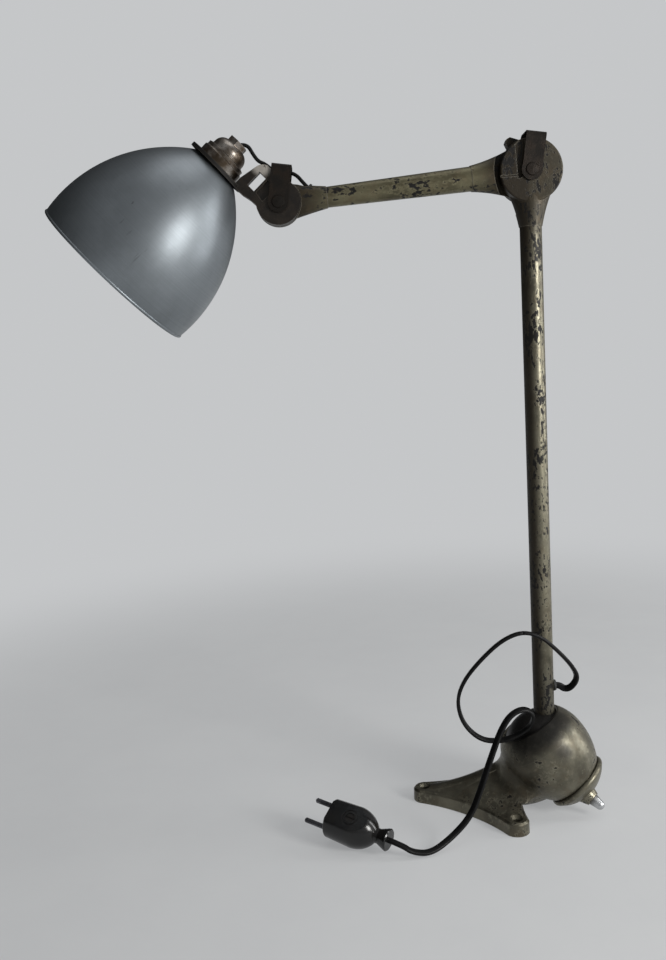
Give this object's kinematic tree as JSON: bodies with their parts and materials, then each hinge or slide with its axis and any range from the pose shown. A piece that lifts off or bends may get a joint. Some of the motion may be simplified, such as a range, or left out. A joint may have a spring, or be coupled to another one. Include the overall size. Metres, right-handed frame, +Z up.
{
  "type": "articulated lamp",
  "caption": "Bench lamp with a footed ball-socket base, clamping lever, straight mast, elbow, swing arm, tilting head joint, screw lampholder and deep domed shade, with cord and plug.",
  "frame": {"origin": "centre of the circle of screw holes, on the plane the feet stand on", "axes": "+Z up along the mast, +X from the front foot towards the ball socket, +Y to the left when looking along +X"},
  "size_m": [0.4151, 0.2053, 0.565],
  "materials": {
    "worn_paint": "worn grey enamel with dark chips",
    "bracket_paint": "pale grey paint on the finger, black ring plate",
    "dark_iron": "dark, oily",
    "bare_steel": "handled bare steel",
    "rusty_steel": "brown with old rust",
    "fibre": "matt fibre",
    "tarnished_nickel": "tarnished plating",
    "white_insulator": "glazed white",
    "brass": "dull",
    "spun_aluminium": "dull bluish grey",
    "black_flex": "satin black",
    "black_rubber": "matt black",
    "black_moulding": "pressed black, rubbed"
  },
  "bodies": {
    "base": {"foot_casting": "worn_paint", "mouth_ring": "worn_paint", "main_cord": "black_flex", "plug_top": "black_moulding", "plug_bottom": "black_moulding", "plug_pin_far": "brass", "plug_pin_near": "brass", "plug_screw": "bare_steel"},
    "clamp": {"clamp_cap": "worn_paint", "clamp_lever": "bare_steel", "pressure_pad": "dark_iron"},
    "ball": {"pivot_ball": "dark_iron"},
    "mast": {"mast_tube": "worn_paint", "mast_bush": "black_rubber", "mast_lead": "black_flex", "mast_head": "worn_paint", "elbow_strip": "rusty_steel", "elbow_pin": "bare_steel", "elbow_nut": "bare_steel", "elbow_washer": "fibre"},
    "arm": {"arm_root": "worn_paint", "arm_tube": "worn_paint", "arm_tip": "worn_paint", "arm_lead": "black_flex", "port_bush": "black_rubber", "head_cord": "black_flex"},
    "head": {"head_bracket": "bracket_paint", "head_strip": "rusty_steel", "head_pin": "bare_steel", "head_nut": "bare_steel", "head_washer": "fibre", "holder_cap": "tarnished_nickel", "holder_skirt": "tarnished_nickel", "shade_ring": "tarnished_nickel", "porcelain_insert": "white_insulator", "screw_shell": "brass", "centre_contact": "brass", "entry_nipple": "tarnished_nickel", "shade": "spun_aluminium"}
  },
  "joints": [
    {"name": "clamp_turn", "type": "hinge", "parent": "base", "child": "clamp", "pos_m": [0.05, 0, 0.0515], "axis": [-0.682, 0, 0.7314], "range_deg": [0, 70]},
    {"name": "mast_tilt", "type": "hinge", "parent": "base", "child": "ball", "pos_m": [0.05, 0, 0.0515], "axis": [0, -1, 0], "range_deg": [0, 45], "deforming": ["main_cord"]},
    {"name": "mast_swivel", "type": "hinge", "parent": "ball", "child": "mast", "pos_m": [0.05, 0, 0.0515], "axis": [0, 0, 1], "range_deg": [-90, 90], "deforming": ["main_cord"]},
    {"name": "elbow", "type": "hinge", "parent": "mast", "child": "arm", "pos_m": [0.05, 0, 0.5255], "axis": [-0.2419, 0.9703, 0], "range_deg": [-26, 12]},
    {"name": "head_tilt", "type": "hinge", "parent": "arm", "child": "head", "pos_m": [-0.14073, -0.04755, 0.51244], "axis": [-0.2419, 0.9703, 0], "range_deg": [-50, 22], "deforming": ["head_cord"]}
  ]
}
